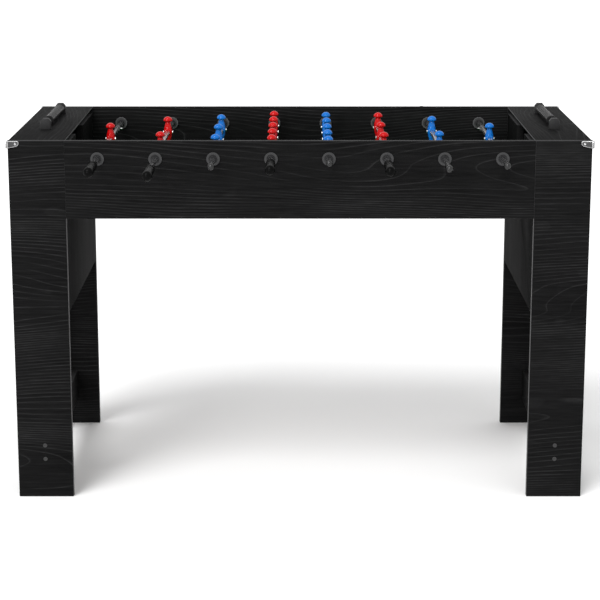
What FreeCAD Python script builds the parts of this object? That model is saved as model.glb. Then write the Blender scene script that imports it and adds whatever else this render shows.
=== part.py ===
import FreeCAD, Part
import Sketcher
import math
import os
import re

# A foosball table: a board cabinet on four L-shaped legs, eight player rods that slide and spin
# in flanged bearings, a goal in each end, and a row of scoring beads on each end deck.
# +X runs along the table, +Y away from the front player, +Z up. The origin is on the floor under
# the middle of the table. Millimetres.

SIZES = {
    # cabinet boards
    "cabinet_length": (1200, "outside of the leg boards, along X"),
    "cabinet_depth": (560, "front board face to back board face"),
    "cabinet_height": (766, "floor to the top edge of the boards"),
    "board": (15, "thickness of every board"),
    "leg_width": (116, "face board of a leg, along X"),
    "leg_depth": (100, "whole leg, along Y"),
    "apron_height": (162, "front and back boards between the legs"),
    "end_panel_height": (364, "end panels, down from the table top"),
    "stretcher_height": (70, "board between a front and a back leg"),
    "stretcher_lift": (61, "stretcher above the floor"),
    "goal_width": (134, "goal mouth, along Y"),
    "outlet_width": (120, "hole in the outer end panel, where the ball is taken out"),
    "outlet_height": (62, "the same hole, upwards"),
    "outlet_lift": (590, "lower edge of that hole above the floor"),
    # playfield
    "field_drop": (63, "playfield surface below the rod axes"),
    "field_board": (9, "thickness of the playfield"),
    "rail_height": (24, "rails that carry the playfield"),
    "shelf_width": (200, "ball shelf, along Y"),
    "shelf_fall": (14, "drop of the ball shelf towards its outlet"),
    "cheek_height": (60, "side cheeks of the ball shelf"),
    # rods
    "rod_pitch": (119, "from rod to rod"),
    "rod_drop": (37, "rod axes below the table top"),
    "rod_radius": (5, "outside of the steel tube"),
    "rod_wall": (1.2, "wall of the steel tube"),
    "fit_gap": (0.05, "radial clearance of a running fit"),
    "stop_gap": (1, "left free at the end of a rod's travel"),
    # bearings
    "flange_radius": (14, "bearing flanges"),
    "outer_flange": (3, "bearing flange outside the wall"),
    "inner_flange": (4, "bearing nut inside the wall"),
    "barrel_radius": (10, "bearing barrel through the wall"),
    "sleeve_radius": (7.5, "bore of the housing, which the sleeve turns in"),
    "sleeve_lip": (0.5, "sleeve proud of the housing at each end"),
    # ends of a rod
    "handle_length": (95, "handle"),
    "handle_radius": (9.5, "handle's collar and body"),
    "knob_radius": (10.5, "handle's round end"),
    "handle_socket": (80, "tube inside the handle"),
    "cap_length": (15, "ball cap on the other end"),
    "cap_radius": (7.25, "ball cap"),
    "cap_socket": (9, "tube inside the ball cap"),
    "bumper_length": (9, "rubber bumper beside an outer man"),
    "bumper_radius": (7, "rubber bumper"),
    "collar_length": (12, "stop collar on a goalkeeper's rod"),
    "collar_radius": (6.5, "stop collar"),
    "collar_place": (162, "stop collar from the goalkeeper"),
    "collar_screw_reach": (10.5, "end of the collar's screw from the rod axis"),
    "collar_screw_radius": (1.8, "collar's screw"),
    # men
    "pair_spacing": (238, "between men in a row of two"),
    "trio_spacing": (157, "between men in a row of three"),
    "five_spacing": (95.5, "between men in a row of five"),
    "trio_spare": (13, "extra bare rod before the handle, with three men"),
    "five_spare": (25, "extra bare rod before the handle, with five men"),
    "man_width": (20, "man's hub, along the rod"),
    "man_top": (35, "top of the hat above the rod axis"),
    "hat_radius": (10.2, "brim of the hat"),
    "hat_height": (8, "crown of the hat"),
    "brim_height": (1.5, "brim of the hat"),
    "neck_radius": (5.7, "neck"),
    "neck_height": (8, "neck, brim to shoulders"),
    "shoulder_radius": (6.6, "top of the torso"),
    "hub_radius": (9.5, "torso where the rod passes through"),
    "leg_half": (5.5, "half of the leg's thickness"),
    "foot_half": (7.5, "half of the foot's thickness"),
    "foot_height": (12, "foot"),
    "foot_drop": (56, "sole of the foot below the rod axis"),
    "bolt_radius": (1.75, "bolt through man and rod"),
    "bolt_head_radius": (3.2, "bolt head and nut"),
    "bolt_head_height": (2, "bolt head and nut"),
    # scoring beads
    "counter_length": (270, "scoring frame, along Y"),
    "counter_width": (22, "posts, along X"),
    "counter_height": (24, "posts above the deck"),
    "counter_post": (12, "posts, along Y"),
    "counter_reach": (543, "scoring frames from the middle of the table"),
    "counter_shift": (22, "scoring frames towards the back"),
    "bead_radius": (10, "bead"),
    "bead_length": (19.8, "bead"),
    "bead_pitch": (20, "from bead to bead"),
    "bead_lift": (12.5, "bead axis above the deck"),
    "bead_bar_radius": (2.5, "bar that carries the beads"),
    # corner guards and leg screws
    "guard_plate": (3, "guard arm outside the boards"),
    "guard_corner": (5, "guard's rounded corner outside the boards"),
    "guard_reach": (23, "guard arm along the boards"),
    "guard_height": (15, "guard at the corner"),
    "guard_tip": (10, "guard at the end of an arm"),
    "screw_radius": (2.5, "stretcher screw"),
    "screw_length": (45, "stretcher screw"),
    "screw_head_radius": (4.5, "cap of a stretcher screw"),
    "screw_head_height": (1.2, "cap of a stretcher screw"),
    "screw_spacing": (30, "between the two screws at one end of a stretcher"),
    "screw_lift": (38, "middle of the two screws above the stretcher's lower edge"),
    # where each rod rests along its travel
    "red_goalie_rest": (9.5, "rod towards the back"),
    "red_defence_rest": (-5, "rod towards the back"),
    "blue_attack_rest": (-6, "rod towards the back"),
    "red_midfield_rest": (21.5, "rod towards the back"),
    "blue_midfield_rest": (2, "rod towards the back"),
    "red_attack_rest": (27, "rod towards the back"),
    "blue_defence_rest": (5, "rod towards the back"),
    "blue_goalie_rest": (9.5, "rod towards the back"),
}

# Each rod from left to right, with its men. A red rod has its handle at the front.
RODS = [
    ("red_goalie", 1),
    ("red_defence", 2),
    ("blue_attack", 3),
    ("red_midfield", 5),
    ("blue_midfield", 5),
    ("red_attack", 3),
    ("blue_defence", 2),
    ("blue_goalie", 1),
]
SPACINGS = {1: "0", 2: "pair_spacing", 3: "trio_spacing", 5: "five_spacing"}
SPARES = {1: "0", 2: "0", 3: "trio_spare", 5: "five_spare"}
BEADS = 10

X_AXIS = FreeCAD.Vector(1, 0, 0)
Y_AXIS = FreeCAD.Vector(0, 1, 0)
Z_AXIS = FreeCAD.Vector(0, 0, 1)
UPRIGHT = FreeCAD.Rotation()
ALONG_X = FreeCAD.Rotation(Y_AXIS, 90)
ALONG_Y = FreeCAD.Rotation(X_AXIS, -90)
HALF_TURN = FreeCAD.Rotation(Z_AXIS, 180)

# Places that several pieces share.
LEG_X = "(cabinet_length / 2 - leg_width)"
WALL_Y = "(cabinet_depth / 2 - board)"
AXIS_Z = "(cabinet_height - rod_drop)"
FIELD_Z = "(cabinet_height - rod_drop - field_drop)"
UNDER_DECK_Z = "(cabinet_height - board)"
PANEL_FOOT_Z = "(cabinet_height - end_panel_height)"
STRETCHER_X = "(cabinet_length / 2 - leg_width / 2)"
SHELF_FOOT_Z = "(outlet_lift - board)"
SCREW_HEIGHTS = [
    "(stretcher_lift + screw_lift - screw_spacing / 2)",
    "(stretcher_lift + screw_lift + screw_spacing / 2)",
]

doc = FreeCAD.newDocument("foosball_table")
sheet = doc.addObject("Spreadsheet::Sheet", "Sizes")
for row, (name, (value, note)) in enumerate(SIZES.items(), start=1):
    sheet.set(f"A{row}", name)
    sheet.set(f"B{row}", str(value))
    sheet.set(f"C{row}", note)
    sheet.setAlias(f"B{row}", name)
doc.recompute()


def bound(text):
    """The expression text with each size read from the sheet."""
    return re.sub(r"[a-z_]+", lambda word: f"Sizes.{word[0]}" if word[0] in SIZES else word[0], text)


def value_of(text):
    """What an expression of sizes comes to now."""
    return float(sheet.evalExpression(bound(text)))


def set_sizes(piece, **texts):
    """Bind properties of a piece to expressions of sizes."""
    for name, text in texts.items():
        piece.setExpression(name, bound(text))
    return piece


def place(piece, x="0", y="0", z="0", turn=UPRIGHT):
    """Turn a piece and bind its position."""
    piece.Placement = FreeCAD.Placement(FreeCAD.Vector(), turn)
    for axis, text in zip("xyz", (x, y, z)):
        piece.setExpression(f"Placement.Base.{axis}", bound(text))
    return piece


def slab(label, length, width, height, x="0", y="0", z="0"):
    """A board with its lowest corner at x, y, z."""
    piece = doc.addObject("Part::Box", label)
    set_sizes(piece, Length=length, Width=width, Height=height)
    return place(piece, x, y, z)


def rod(label, radius, height, x="0", y="0", z="0", turn=UPRIGHT):
    """A round bar that starts at x, y, z."""
    piece = doc.addObject("Part::Cylinder", label)
    set_sizes(piece, Radius=radius, Height=height)
    return place(piece, x, y, z, turn)


def cone(label, low_radius, high_radius, height, z):
    """An upright cone that starts at z."""
    piece = doc.addObject("Part::Cone", label)
    set_sizes(piece, Radius1=low_radius, Radius2=high_radius, Height=height)
    return place(piece, z=z)


def taper(label, low_x, low_y, high_x, high_y, low_z, high_z):
    """An upright four-sided block, centred on Z, given by its half widths at the bottom and the top."""
    piece = doc.addObject("Part::Wedge", label)
    set_sizes(piece, Xmin=f"-({low_x})", Xmax=low_x, Zmin=f"-({low_y})", Zmax=low_y)
    set_sizes(piece, X2min=f"-({high_x})", X2max=high_x, Z2min=f"-({high_y})", Z2max=high_y)
    set_sizes(piece, Ymin="0", Ymax=f"({high_z}) - ({low_z})")
    return place(piece, z=low_z, turn=FreeCAD.Rotation(X_AXIS, 90))


def fused(label, pieces):
    """Pieces joined into one solid."""
    piece = doc.addObject("Part::MultiFuse", label)
    piece.Shapes = pieces
    return piece


def cut(label, base, tools):
    """A base with the tools taken out."""
    piece = doc.addObject("Part::Cut", label)
    piece.Base = base
    piece.Tool = tools[0] if len(tools) == 1 else fused(f"{label}_tools", tools)
    return piece


def group(label, pieces):
    """Separate solids that share one node."""
    piece = doc.addObject("Part::Compound", label)
    piece.Links = pieces
    return piece


def copy_of(label, original, x="0", y="0", z="0", turn=UPRIGHT):
    """Another one of a piece that the table has several of."""
    piece = doc.addObject("App::Link", label)
    piece.LinkedObject = original
    return place(piece, x, y, z, turn)


def origin_plane(body, role):
    """A body's own XY, XZ or YZ plane."""
    return next(plane for plane in body.Origin.OriginFeatures if plane.Role == role)


def new_sketch(body, name, role):
    """An empty sketch on one of a body's own planes."""
    sketch = body.newObject("Sketcher::SketchObject", name)
    sketch.AttachmentSupport = [(origin_plane(body, role), "")]
    sketch.MapMode = "FlatFace"
    return sketch


def pin_point(sketch, line, end, corner):
    """Hold one end of a line at its two distances from the sketch's origin."""
    for kind, text in zip(("DistanceX", "DistanceY"), corner):
        index = sketch.addConstraint(Sketcher.Constraint(kind, -1, 1, line, end, value_of(text)))
        sketch.setExpression(f"Constraints[{index}]", bound(text))


def outline(sketch, corners):
    """A closed outline through corners, each a pair of expressions."""
    points = [FreeCAD.Vector(value_of(across), value_of(up), 0) for across, up in corners]
    first = sketch.GeometryCount
    count = len(points)
    for index in range(count):
        sketch.addGeometry(Part.LineSegment(points[index], points[(index + 1) % count]), False)
    for index in range(count):
        following = first + (index + 1) % count
        sketch.addConstraint(Sketcher.Constraint("Coincident", first + index, 2, following, 1))
        pin_point(sketch, first + index, 1, corners[index])
    return sketch


def box_corners(left, right, low, high):
    """The four corners of an upright rectangle."""
    return [(left, low), (right, low), (right, high), (left, high)]


def pad(body, sketch, name, length, reverse=False):
    """Thicken a sketch into a board."""
    feature = body.newObject("PartDesign::Pad", name)
    feature.Profile = sketch
    feature.Reversed = reverse
    feature.setExpression("Length", bound(length))
    return feature


def drilled(body, sketch, name, reverse=False):
    """Cut a sketch right through a board."""
    feature = body.newObject("PartDesign::Pocket", name)
    feature.Profile = sketch
    feature.Type = "ThroughAll"
    feature.Reversed = reverse
    return feature


def turned(label, corners, axis="V_Axis"):
    """A lathe-turned piece: its half outline on the XY plane, spun about one of the sketch's axes."""
    body = doc.addObject("PartDesign::Body", label)
    sketch = outline(new_sketch(body, f"{label}_outline", "XY_Plane"), corners)
    feature = body.newObject("PartDesign::Revolution", f"{label}_turning")
    feature.Profile = sketch
    feature.ReferenceAxis = (sketch, [axis])
    feature.Angle = 360
    return body


def padded_body(label, role, corners, length, holes=()):
    """A board cut to an outline, with outlined holes."""
    body = doc.addObject("PartDesign::Body", label)
    sketch = outline(new_sketch(body, f"{label}_outline", role), corners)
    pad(body, sketch, f"{label}_board", length)
    for index, hole in enumerate(holes):
        hole_sketch = outline(new_sketch(body, f"{label}_hole_{index}", role), hole)
        doc.recompute()
        drilled(body, hole_sketch, f"{label}_opening_{index}", reverse=True)
    return body


def apron(label, y):
    """The board between two legs, drilled for the eight rod bearings."""
    body = padded_body(label, "XZ_Plane", box_corners(f"-{LEG_X}", LEG_X, "0", "apron_height"), "board")
    doc.recompute()
    solid_board = body.Shape.Volume
    centre = (rod_x(0), "apron_height - rod_drop")
    sketch = new_sketch(body, f"{label}_bore", "XZ_Plane")
    middle = FreeCAD.Vector(value_of(centre[0]), value_of(centre[1]), 0)
    circle = sketch.addGeometry(Part.Circle(middle, Z_AXIS, value_of("barrel_radius")), False)
    pin_point(sketch, circle, 3, centre)
    radius = sketch.addConstraint(Sketcher.Constraint("Radius", circle, value_of("barrel_radius")))
    sketch.setExpression(f"Constraints[{radius}]", bound("barrel_radius"))
    doc.recompute()
    bore = drilled(body, sketch, f"{label}_drilling", reverse=True)
    pattern = body.newObject("PartDesign::LinearPattern", f"{label}_bores")
    pattern.Originals = [bore]
    pattern.Direction = (sketch, ["H_Axis"])
    pattern.Occurrences = len(RODS)
    pattern.setExpression("Length", bound(f"rod_pitch * {len(RODS) - 1}"))
    body.Tip = pattern
    doc.recompute()
    bores = (solid_board - body.Shape.Volume) / (math.pi * value_of("barrel_radius^2 * board"))
    if abs(bores - len(RODS)) > 0.01:
        raise RuntimeError(f"{label} has {bores} bores")
    return place(body, y=y, z="cabinet_height - apron_height")


def leg(label, side, end):
    """An L-shaped leg: a face board, drilled for the stretcher's screws, and a side board."""
    outer_x = "-cabinet_length / 2" if side < 0 else LEG_X
    face_y = "-cabinet_depth / 2" if end < 0 else WALL_Y
    board = slab(f"{label}_board", "leg_width", "board", "cabinet_height", outer_x, face_y)
    holes = []
    for index, z in enumerate(SCREW_HEIGHTS):
        hole = rod(f"{label}_hole_{index}", "screw_radius", "board", f"{side} * {STRETCHER_X}", face_y, z, ALONG_Y)
        holes.append(hole)
    face = cut(f"{label}_face", board, holes)
    side_x = "-cabinet_length / 2" if side < 0 else "cabinet_length / 2 - board"
    side_y = f"-{WALL_Y}" if end < 0 else "cabinet_depth / 2 - leg_depth"
    edge = slab(f"{label}_side", "board", "leg_depth - board", UNDER_DECK_Z, side_x, side_y)
    return group(label, [face, edge])


def build_cabinet():
    """The boards of the cabinet."""
    nodes = [apron("front_apron", f"-{WALL_Y}"), apron("back_apron", "cabinet_depth / 2")]
    for end_name, end in (("front", -1), ("back", 1)):
        for side_name, side in (("left", -1), ("right", 1)):
            nodes.append(leg(f"leg_{end_name}_{side_name}", side, end))
    for side_name, side in (("left", -1), ("right", 1)):
        deck_x = "-cabinet_length / 2" if side < 0 else LEG_X
        deck = slab(
            f"end_deck_{side_name}", "leg_width", f"2 * {WALL_Y}", "board", deck_x, f"-{WALL_Y}", UNDER_DECK_Z
        )
        nodes.append(deck)
        nodes.append(goal_panel(side_name, side))
    nodes.append(outer_panels())
    nodes.append(stretchers())
    return nodes


def goal_panel(side_name, side):
    """The inner end panel, notched under the deck for the goal mouth."""
    corners = [
        (f"-{WALL_Y}", PANEL_FOOT_Z),
        (WALL_Y, PANEL_FOOT_Z),
        (WALL_Y, UNDER_DECK_Z),
        ("goal_width / 2", UNDER_DECK_Z),
        ("goal_width / 2", FIELD_Z),
        ("-goal_width / 2", FIELD_Z),
        ("-goal_width / 2", UNDER_DECK_Z),
        (f"-{WALL_Y}", UNDER_DECK_Z),
    ]
    panel = padded_body(f"goal_panel_{side_name}", "YZ_Plane", corners, "board")
    return place(panel, x=f"-{LEG_X} - board" if side < 0 else LEG_X)


def outer_panels():
    """The two outside end panels, each with the hole where the ball is taken out."""
    reach = "(cabinet_depth / 2 - leg_depth)"
    corners = box_corners(f"-{reach}", reach, PANEL_FOOT_Z, UNDER_DECK_Z)
    hole = box_corners("-outlet_width / 2", "outlet_width / 2", "outlet_lift", "outlet_lift + outlet_height")
    left = padded_body("outer_panel_left", "YZ_Plane", corners, "board", [hole])
    place(left, x="-cabinet_length / 2")
    right = copy_of("outer_panel_right", left, x="cabinet_length / 2 - board")
    return group("outer_end_panels", [left, right])


def stretchers():
    """The board between the legs at each end, with the screws that hold it through the leg faces."""
    pieces = []
    for side_name, side in (("left", -1), ("right", 1)):
        middle = f"{side} * {STRETCHER_X}"
        plain = slab(
            f"stretcher_{side_name}_plain",
            "board",
            f"2 * {WALL_Y}",
            "stretcher_height",
            f"{middle} - board / 2",
            f"-{WALL_Y}",
            "stretcher_lift",
        )
        holes = []
        screws = []
        for z_index, z in enumerate(SCREW_HEIGHTS):
            mark = f"{side_name}_{z_index}"
            grip = "(screw_length - board)"
            holes.append(rod(f"hole_front_{mark}", "screw_radius", grip, middle, f"-{WALL_Y}", z, ALONG_Y))
            holes.append(rod(f"hole_back_{mark}", "screw_radius", grip, middle, f"{WALL_Y} - {grip}", z, ALONG_Y))
            screws.append(copy_of(f"screw_front_{mark}", leg_screw, middle, "-cabinet_depth / 2", z))
            screws.append(copy_of(f"screw_back_{mark}", leg_screw, middle, "cabinet_depth / 2", z, HALF_TURN))
        pieces.append(cut(f"stretcher_{side_name}", plain, holes))
        pieces.extend(screws)
    return group("leg_stretchers", pieces)


def build_playfield():
    """The playfield, the rails under it, and a sloping ball shelf inside each end."""
    field_foot = f"({FIELD_Z} - field_board)"
    length = f"2 * {LEG_X}"
    depth = f"2 * {WALL_Y}"
    field = slab("playfield", length, depth, "field_board", f"-{LEG_X}", f"-{WALL_Y}", field_foot)
    rail_z = f"{field_foot} - rail_height"
    rails = [
        slab("rail_front", length, "board", "rail_height", f"-{LEG_X}", f"-{WALL_Y}", rail_z),
        slab("rail_back", length, "board", "rail_height", f"-{LEG_X}", f"{WALL_Y} - board", rail_z),
    ]
    end_depth = f"2 * {WALL_Y} - 2 * board"
    for side_name, x in (("left", f"-{LEG_X}"), ("right", f"{LEG_X} - board")):
        rails.append(slab(f"rail_{side_name}", "board", end_depth, "rail_height", x, f"-{WALL_Y} + board", rail_z))
    return [field, group("playfield_rails", rails), ball_shelves()]


def ball_shelves():
    """In each end, a shelf that falls towards the outlet, between two cheeks."""
    inner_x = f"({LEG_X} + board)"
    outer_x = "(cabinet_length / 2 - board)"
    corners = [
        (inner_x, SHELF_FOOT_Z),
        (outer_x, SHELF_FOOT_Z),
        (outer_x, "outlet_lift"),
        (inner_x, "outlet_lift + shelf_fall"),
    ]
    pieces = []
    shelf = padded_body("ball_shelf_right", "XZ_Plane", corners, "shelf_width")
    place(shelf, y="shelf_width / 2")
    cheek = slab(
        "shelf_cheek",
        "leg_width - 2 * board",
        "board",
        "cheek_height",
        inner_x,
        "shelf_width / 2",
        SHELF_FOOT_Z,
    )
    pieces.append(shelf)
    pieces.append(cheek)
    pieces.append(copy_of("shelf_cheek_front", cheek, inner_x, "-shelf_width / 2 - board", SHELF_FOOT_Z))
    pieces.append(copy_of("ball_shelf_left", shelf, y="-shelf_width / 2", turn=HALF_TURN))
    left_x = f"-{inner_x}"
    pieces.append(copy_of("shelf_cheek_left", cheek, left_x, "-shelf_width / 2", SHELF_FOOT_Z, HALF_TURN))
    pieces.append(copy_of("shelf_cheek_back", cheek, left_x, "shelf_width / 2 + board", SHELF_FOOT_Z, HALF_TURN))
    return group("ball_shelves", pieces)


def rod_x(index):
    """Where a rod stands along the table."""
    return f"{index - (len(RODS) - 1) / 2} * rod_pitch"


def build_bearings():
    """A flanged housing and its nut where each rod passes through a wall."""
    barrel_end = "board + inner_flange"
    housing = turned(
        "bearing_housing",
        [
            ("sleeve_radius", "-outer_flange"),
            ("flange_radius - 1", "-outer_flange"),
            ("flange_radius", "-outer_flange + 1"),
            ("flange_radius", "0"),
            ("barrel_radius", "0"),
            ("barrel_radius", barrel_end),
            ("sleeve_radius", barrel_end),
        ],
    )
    nut = turned(
        "bearing_nut",
        [
            ("barrel_radius", "board"),
            ("flange_radius", "board"),
            ("flange_radius", f"{barrel_end} - 1"),
            ("flange_radius - 1", barrel_end),
            ("barrel_radius", barrel_end),
        ],
    )
    pieces = []
    for index in range(len(RODS)):
        for part_name, part in (("housing", housing), ("nut", nut)):
            x = rod_x(index)
            pieces.append(copy_of(f"front_{part_name}_{index}", part, x, "-cabinet_depth / 2", AXIS_Z))
            pieces.append(copy_of(f"back_{part_name}_{index}", part, x, "cabinet_depth / 2", AXIS_Z, HALF_TURN))
    return [group("rod_bearings", pieces)]


def make_sleeve():
    """The inner sleeve that turns in a bearing housing and that the rod slides through."""
    low = "-outer_flange - sleeve_lip"
    high = "board + inner_flange + sleeve_lip"
    inner = "rod_radius + fit_gap"
    outer = "sleeve_radius - fit_gap"
    return turned("bearing_sleeve", [(inner, low), (outer, low), (outer, high), (inner, high)])


def make_handle():
    """The handle, from its end nearest the table towards -Y."""
    knob_start = "(handle_length - 2 * knob_radius)"
    corners = [
        ("rod_radius", "0"),
        ("handle_radius - 2", "0"),
        ("handle_radius", "-2"),
        ("handle_radius", "-8"),
        ("handle_radius - 2", "-10"),
        ("handle_radius - 2", "-14"),
        ("handle_radius - 0.5", "-18"),
        ("handle_radius", "-40"),
        ("handle_radius - 0.5", "-62"),
        ("handle_radius - 2.5", f"-{knob_start} + 2"),
        ("handle_radius - 2.5", f"-{knob_start} - 1"),
        ("knob_radius - 1.5", f"-{knob_start} - 4"),
        ("knob_radius", f"-{knob_start} - knob_radius * 0.9"),
        ("knob_radius - 1.5", f"-{knob_start} - knob_radius * 1.5"),
        ("knob_radius * 0.55", "-handle_length + 1"),
        ("knob_radius * 0.3", "-handle_length"),
        ("0", "-handle_length"),
        ("0", "-handle_socket"),
        ("rod_radius", "-handle_socket"),
    ]
    return turned("handle", corners)


def make_cap():
    """The ball cap, from its end nearest the table towards +Y."""
    corners = [
        ("rod_radius", "0"),
        ("cap_radius * 0.85", "0"),
        ("cap_radius", "cap_length * 0.3"),
        ("cap_radius", "cap_length * 0.6"),
        ("cap_radius * 0.72", "cap_length * 0.88"),
        ("cap_radius * 0.35", "cap_length"),
        ("0", "cap_length"),
        ("0", "cap_socket"),
        ("rod_radius", "cap_socket"),
    ]
    return turned("ball_cap", corners)


def make_man():
    """A player: hat, neck, torso, hub round the rod, leg and foot."""
    brim_z = "(man_top - hat_height - brim_height)"
    neck_z = f"({brim_z} - neck_height)"
    crown = doc.addObject("Part::Ellipsoid", "man_crown")
    set_sizes(crown, Radius1="hat_height", Radius2="hat_radius", Radius3="hat_radius")
    crown.Angle1 = 0
    place(crown, z="man_top - hat_height")
    leg_foot = "(-foot_drop + foot_height)"
    parts = [
        crown,
        rod("man_brim", "hat_radius", "brim_height", z=brim_z),
        cone("man_chin", "neck_radius", "hat_radius", "brim_height", f"{brim_z} - brim_height"),
        rod("man_neck", "neck_radius", "neck_height", z=neck_z),
        cone("man_torso", "hub_radius - 0.4", "shoulder_radius", f"{neck_z} + 3", "-3"),
        rod("man_hub", "hub_radius", "man_width", y="-man_width / 2", turn=ALONG_Y),
        taper("man_leg", "leg_half", "man_width * 0.38", "hub_radius * 0.8", "man_width * 0.42", leg_foot, "-2"),
        taper("man_foot", "foot_half", "man_width / 2", "leg_half", "man_width * 0.38", "-foot_drop", leg_foot),
    ]
    holes = [
        rod("man_bore", "rod_radius", "man_width * 2", y="-man_width", turn=ALONG_Y),
        rod("man_bolt_hole", "bolt_radius", "hub_radius * 4", x="-hub_radius * 2", turn=ALONG_X),
    ]
    return cut("man", fused("man_figure", parts), holes)


def make_bolt():
    """The bolt through a man and its rod, head towards -X."""
    head_x = "-hub_radius - bolt_head_height"
    tip_x = "hub_radius + bolt_head_height"
    corners = [
        (head_x, "0"),
        (head_x, "bolt_head_radius * 0.8"),
        (f"{head_x} + 0.6", "bolt_head_radius"),
        ("-hub_radius", "bolt_head_radius"),
        ("-hub_radius", "bolt_radius"),
        (tip_x, "bolt_radius"),
        (tip_x, "0"),
    ]
    return turned("man_bolt", corners, "H_Axis")


def make_nut():
    """The hexagon nut on a man's bolt."""
    prism = doc.addObject("Part::Prism", "man_nut_prism")
    prism.Polygon = 6
    set_sizes(prism, Circumradius="bolt_head_radius", Height="bolt_head_height - 0.2")
    place(prism, x="hub_radius", turn=ALONG_X)
    hole = rod("man_nut_hole", "bolt_radius", "bolt_head_height * 3", x="hub_radius - 1", turn=ALONG_X)
    return cut("man_nut", prism, [hole])


def make_collar_screw():
    """The screw that fixes a goalkeeper's stop collar, towards +X."""
    neck_x = "collar_screw_reach - 2"
    corners = [
        ("rod_radius", "0"),
        ("rod_radius", "collar_screw_radius - 0.4"),
        (neck_x, "collar_screw_radius - 0.4"),
        (neck_x, "collar_screw_radius"),
        ("collar_screw_reach", "collar_screw_radius"),
        ("collar_screw_reach", "0"),
    ]
    return turned("collar_screw", corners, "H_Axis")


def make_collar():
    """A goalkeeper's stop collar, with the hole for its screw."""
    plain = rod("collar_plain", "collar_radius", "collar_length", y="-collar_length / 2", turn=ALONG_Y)
    bore = rod("collar_bore", "rod_radius", "collar_length * 2", y="-collar_length", turn=ALONG_Y)
    hole = rod("collar_hole", "collar_screw_radius - 0.4", "collar_radius", turn=ALONG_X)
    return cut("stop_collar", plain, [bore, hole])


def make_bumper():
    """The rubber bumper beside an outer man."""
    corners = [
        ("rod_radius", "0"),
        ("bumper_radius", "0"),
        ("bumper_radius", "bumper_length - 1.5"),
        ("bumper_radius - 1", "bumper_length"),
        ("rod_radius", "bumper_length"),
    ]
    return turned("rubber_bumper", corners)


def build_rod(index, name, men):
    """One rod: its two sleeves, tube, men, bolts with nuts, and handle with cap and stops."""
    spacing = SPACINGS[men]
    reach = f"({(men - 1) / 2} * {spacing})"
    if men == 1:
        stop_end = "(collar_place + collar_length / 2)"
    else:
        stop_end = f"({reach} + man_width / 2 + bumper_length)"
    travel = f"({WALL_Y} - inner_flange - {stop_end} - stop_gap)"
    cap_start = f"(cabinet_depth / 2 + outer_flange + {travel} + stop_gap)"
    grip_start = f"({cap_start} + {SPARES[men]})"
    x = rod_x(index)
    turn = HALF_TURN if name.startswith("blue") else UPRIGHT
    on_rod = {"x": x, "y": f"{name}_rest", "z": AXIS_Z, "turn": turn}

    sleeves = [
        copy_of(f"{name}_sleeve_front", sleeve, y="-cabinet_depth / 2"),
        copy_of(f"{name}_sleeve_back", sleeve, y="cabinet_depth / 2", turn=HALF_TURN),
    ]
    sleeve_node = place(group(f"{name}_sleeves", sleeves), x, "0", AXIS_Z)

    start = f"-{grip_start} - handle_socket"
    length = f"{cap_start} + {grip_start} + handle_socket + cap_socket"
    places = [f"{step - (men - 1) / 2} * {spacing}" for step in range(men)]
    bar = rod(f"{name}_bar", "rod_radius", length, y=start, turn=ALONG_Y)
    hollow = rod(f"{name}_hollow", "rod_radius - rod_wall", length, y=start, turn=ALONG_Y)
    holes = [hollow]
    figures = []
    bolts = []
    for step, y in enumerate(places):
        hole = rod(f"{name}_hole_{step}", "bolt_radius", "rod_radius * 4", "-rod_radius * 2", y, "0", ALONG_X)
        holes.append(hole)
        figures.append(copy_of(f"{name}_man_{step}", man, y=y))
        bolts.append(copy_of(f"{name}_bolt_{step}", bolt, y=y))
        bolts.append(copy_of(f"{name}_nut_{step}", nut, y=y))

    stops = []
    if men == 1:
        for side_name, side in (("front", "-"), ("back", "")):
            stops.append(copy_of(f"{name}_collar_{side_name}", collar, y=f"{side}collar_place"))
            bolts.append(copy_of(f"{name}_screw_{side_name}", collar_screw, y=f"{side}collar_place"))
    else:
        bumper_y = f"({reach} + man_width / 2)"
        stops.append(copy_of(f"{name}_bumper_back", bumper, y=bumper_y))
        stops.append(copy_of(f"{name}_bumper_front", bumper, y=f"-{bumper_y}", turn=HALF_TURN))
    grips = [
        copy_of(f"{name}_handle", handle, y=f"-{grip_start}"),
        copy_of(f"{name}_cap", cap, y=cap_start),
    ]
    tube = place(cut(f"{name}_rod", bar, holes), **on_rod)
    men_node = place(group(f"{name}_men", figures), **on_rod)
    bolt_node = place(group(f"{name}_bolts", bolts), **on_rod)
    grip_node = place(group(f"{name}_handle_and_cap", grips + stops), **on_rod)
    print(name, "travel", round(value_of(travel), 3))
    return [sleeve_node, tube, men_node, bolt_node, grip_node]


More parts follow.
